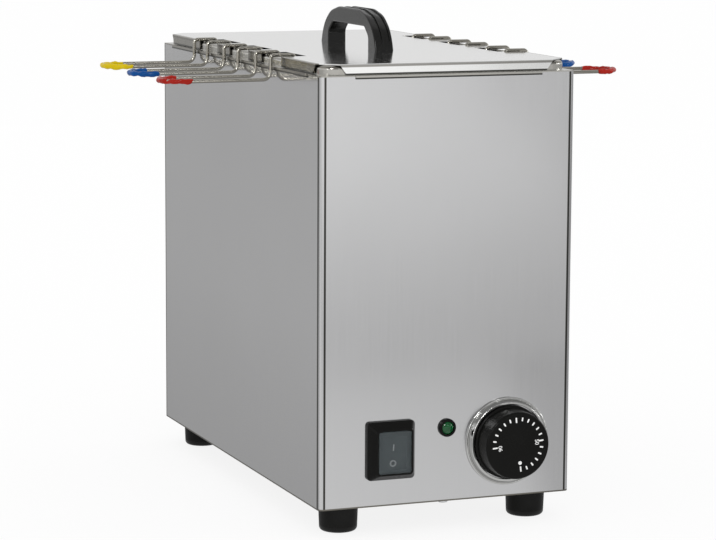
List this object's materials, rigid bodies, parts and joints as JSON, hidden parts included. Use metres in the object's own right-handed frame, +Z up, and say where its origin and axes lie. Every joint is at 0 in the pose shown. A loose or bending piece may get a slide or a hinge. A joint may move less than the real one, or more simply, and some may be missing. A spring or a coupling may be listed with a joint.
{
  "type": "commercial egg boiler",
  "caption": "Tall stainless water bath on rubber feet, with a notched lift-off lid and hooked wire egg baskets, a thermostat, a pilot lamp and a mains switch.",
  "frame": {"origin": "on the table, under the middle of the object's overall box, which is the casing's middle", "axes": "+Z up; the front with the controls faces -Y; +X to the right seen from the front; the object is longest along Y"},
  "size_m": [0.3722, 0.417, 0.3745],
  "materials": {
    "stainless_satin": "satin rolled stainless sheet",
    "stainless_bright": "bright, nearly mirror-like stainless sheet",
    "stainless_wire": "electropolished stainless wire",
    "steel_zinc": "zinc-plated steel",
    "heater_steel": "heat-darkened steel tube",
    "aluminium_plate": "plain rolled aluminium",
    "copper_tube": "drawn copper",
    "chrome_bezel": "polished chrome",
    "black_moulding": "black moulded plastic, lightly grained",
    "pale_moulding": "pale heat-proof moulding",
    "clear_cover": "clear soft cover",
    "green_lens": "clear green lens",
    "black_rubber": "dull black rubber",
    "vinyl_red": "dipped vinyl",
    "vinyl_blue": "dipped vinyl",
    "vinyl_yellow": "dipped vinyl"
  },
  "bodies": {
    "boiler": {"base_plate": "stainless_satin", "base_screws": "steel_zinc", "bulb_clip": "steel_zinc", "cable_gland": "black_moulding", "capillary_and_bulb": "copper_tube", "clamp_nuts": "steel_zinc", "dial_ring": "chrome_bezel", "earth_stud": "steel_zinc", "element_clamps": "steel_zinc", "foot_front_left": "black_rubber", "foot_front_right": "black_rubber", "foot_nuts": "steel_zinc", "foot_rear_left": "black_rubber", "foot_rear_right": "black_rubber", "foot_screws": "steel_zinc", "foot_washers": "steel_zinc", "gland_nut": "black_moulding", "heat_spreader": "aluminium_plate", "heating_element": "heater_steel", "outer_casing": "stainless_satin", "pilot_bezel": "black_moulding", "pilot_body": "pale_moulding", "pilot_lens": "green_lens", "pilot_nut": "pale_moulding", "safety_cutout": "pale_moulding", "splash_cover": "clear_cover", "switch_body": "black_moulding", "switch_frame": "black_moulding", "switch_tabs": "steel_zinc", "terminal_block": "pale_moulding", "terminal_screws": "steel_zinc", "thermostat_body": "pale_moulding", "thermostat_screws": "steel_zinc", "top_deck": "stainless_satin", "water_tank": "stainless_bright"},
    "lid": {"lid_plate": "stainless_bright", "lid_handle": "black_moulding", "lid_screws": "steel_zinc", "lid_washers": "steel_zinc"},
    "thermostat_knob": {"control_knob": "black_moulding", "thermostat_shaft": "steel_zinc"},
    "rocker": {"switch_rocker": "black_moulding"},
    "left_front_basket": {"basket_left_front": "stainless_wire", "grip_left_front": "vinyl_red"},
    "left_middle_basket": {"basket_left_middle": "stainless_wire", "grip_left_middle": "vinyl_blue"},
    "left_rear_basket": {"basket_left_rear": "stainless_wire", "grip_left_rear": "vinyl_yellow"},
    "right_front_basket": {"basket_right_front": "stainless_wire", "grip_right_front": "vinyl_red"},
    "right_middle_basket": {"basket_right_middle": "stainless_wire", "grip_right_middle": "vinyl_blue"},
    "right_rear_basket": {"basket_right_rear": "stainless_wire", "grip_right_rear": "vinyl_yellow"}
  },
  "joints": [
    {"name": "lid_lift", "type": "slide", "parent": "boiler", "child": "lid", "axis": [0, 0, 1], "range_m": [0, 0.25]},
    {"name": "knob_turn", "type": "hinge", "parent": "boiler", "child": "thermostat_knob", "pos_m": [0.0484, -0.1975, 0.063], "axis": [0, 1, 0], "range_deg": [-173, 100]},
    {"name": "rocker_tilt", "type": "hinge", "parent": "boiler", "child": "rocker", "pos_m": [-0.0449, -0.184, 0.0628], "axis": [-1, 0, 0], "range_deg": [0, 12]},
    {"name": "left_front_lift", "type": "slide", "parent": "boiler", "child": "left_front_basket", "axis": [0, 0, 1], "range_m": [0, 0.1]},
    {"name": "left_middle_lift", "type": "slide", "parent": "boiler", "child": "left_middle_basket", "axis": [0, 0, 1], "range_m": [0, 0.1]},
    {"name": "left_rear_lift", "type": "slide", "parent": "boiler", "child": "left_rear_basket", "axis": [0, 0, 1], "range_m": [0, 0.1]},
    {"name": "right_front_lift", "type": "slide", "parent": "boiler", "child": "right_front_basket", "axis": [0, 0, 1], "range_m": [0, 0.1]},
    {"name": "right_middle_lift", "type": "slide", "parent": "boiler", "child": "right_middle_basket", "axis": [0, 0, 1], "range_m": [0, 0.1]},
    {"name": "right_rear_lift", "type": "slide", "parent": "boiler", "child": "right_rear_basket", "axis": [0, 0, 1], "range_m": [0, 0.1]}
  ]
}
